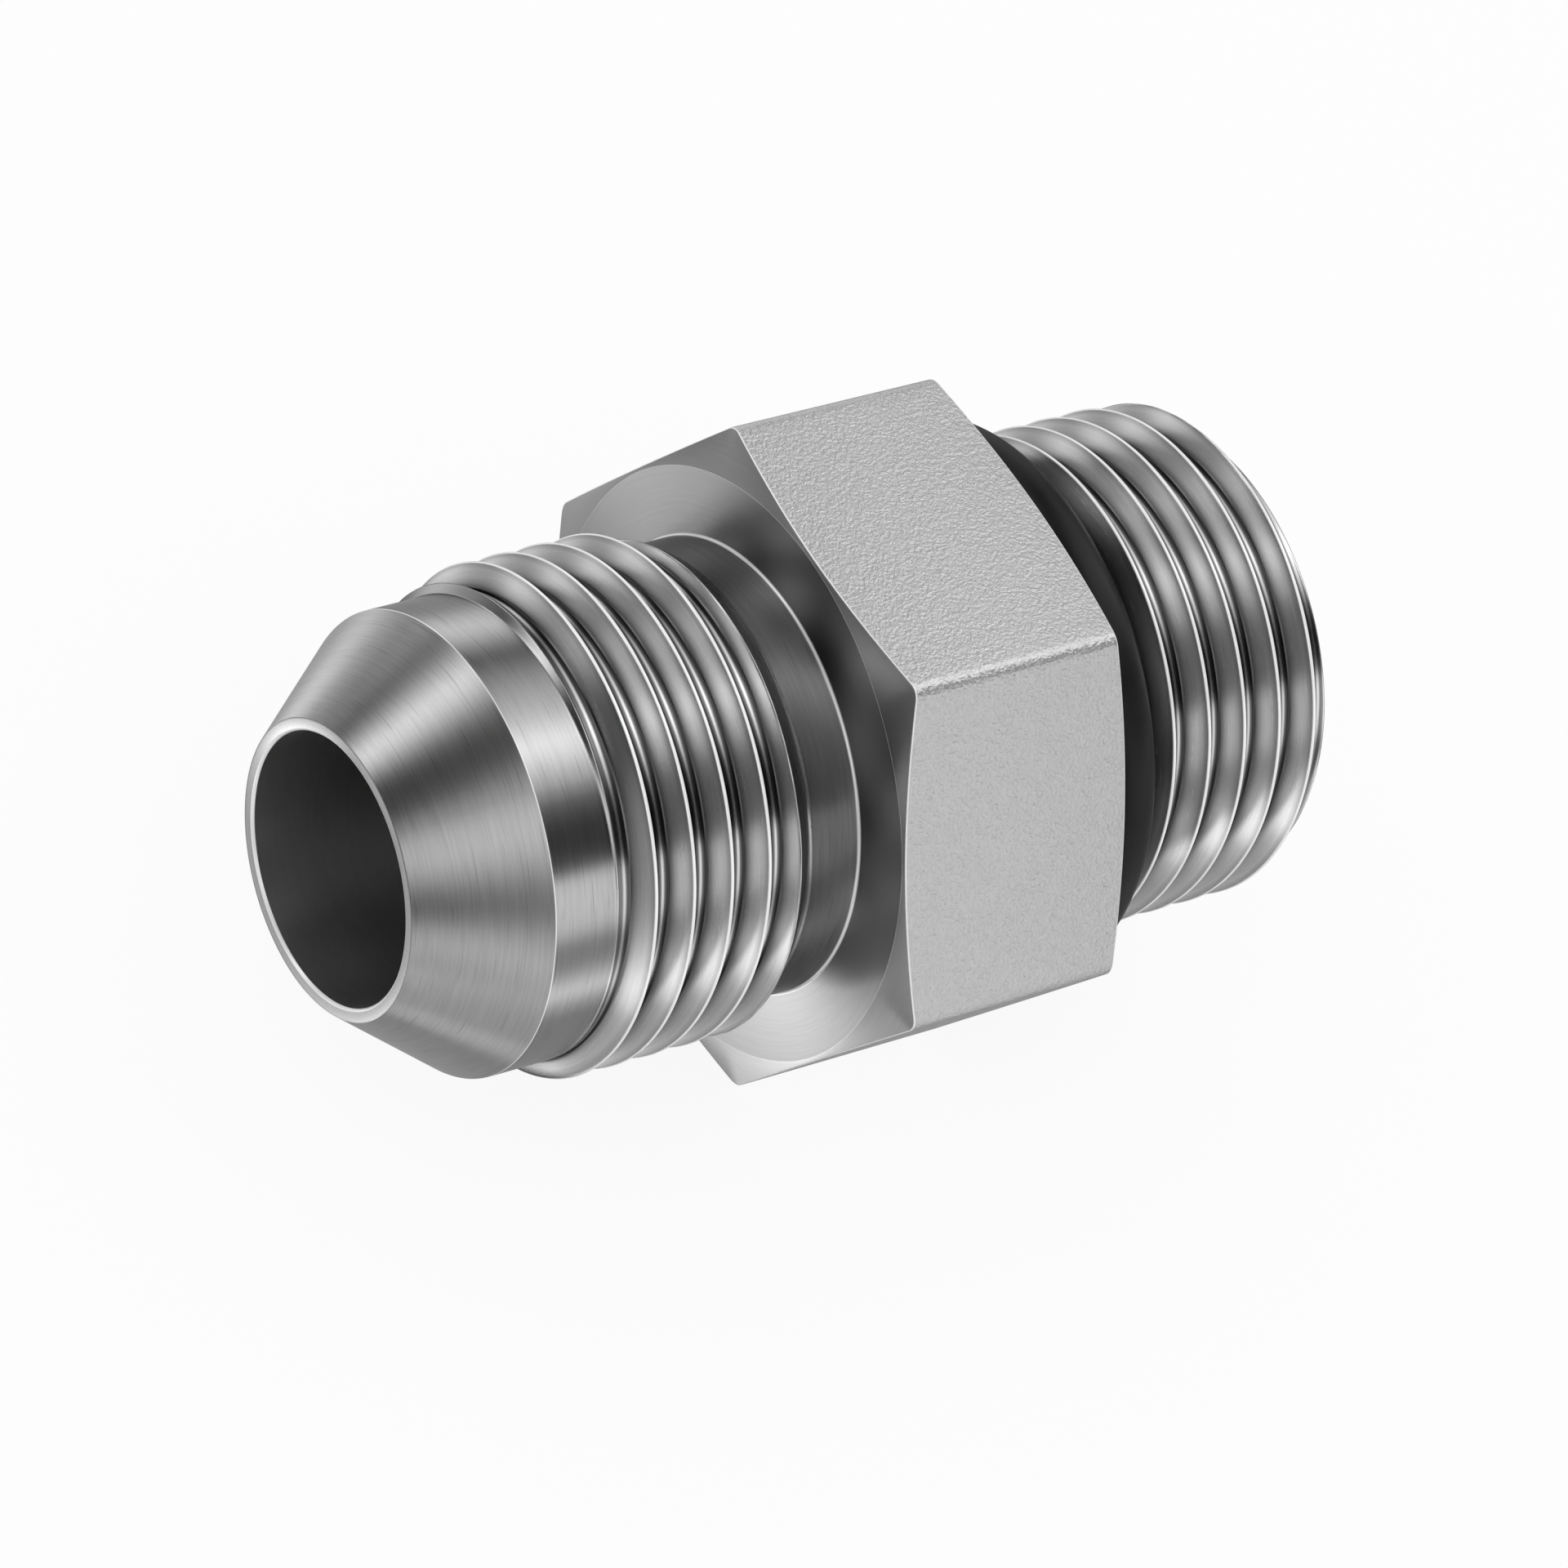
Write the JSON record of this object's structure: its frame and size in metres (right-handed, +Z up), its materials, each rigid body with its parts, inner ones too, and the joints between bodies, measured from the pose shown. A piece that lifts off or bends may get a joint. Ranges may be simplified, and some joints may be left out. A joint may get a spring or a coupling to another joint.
{
  "type": "hydraulic adapter",
  "caption": "Straight hydraulic adapter: a 37 degree flare male end, a wrench hexagon and a straight-thread stud end with an O-ring.",
  "frame": {"origin": "on the floor, below the middle of the adapter's length, with the hexagon lying on one of its flats", "axes": "+X along the adapter's axis from the flare end to the stud end; +Z up, square to the hexagon's upper flat"},
  "size_m": [0.0374, 0.0254, 0.0222],
  "materials": {
    "plated_steel": "turned, bright plated; the hexagon's flats are blasted and matte",
    "black_rubber": "smooth moulded rubber"
  },
  "bodies": {
    "root": {"adapter_body": "plated_steel", "o_ring": "black_rubber"}
  },
  "joints": []
}
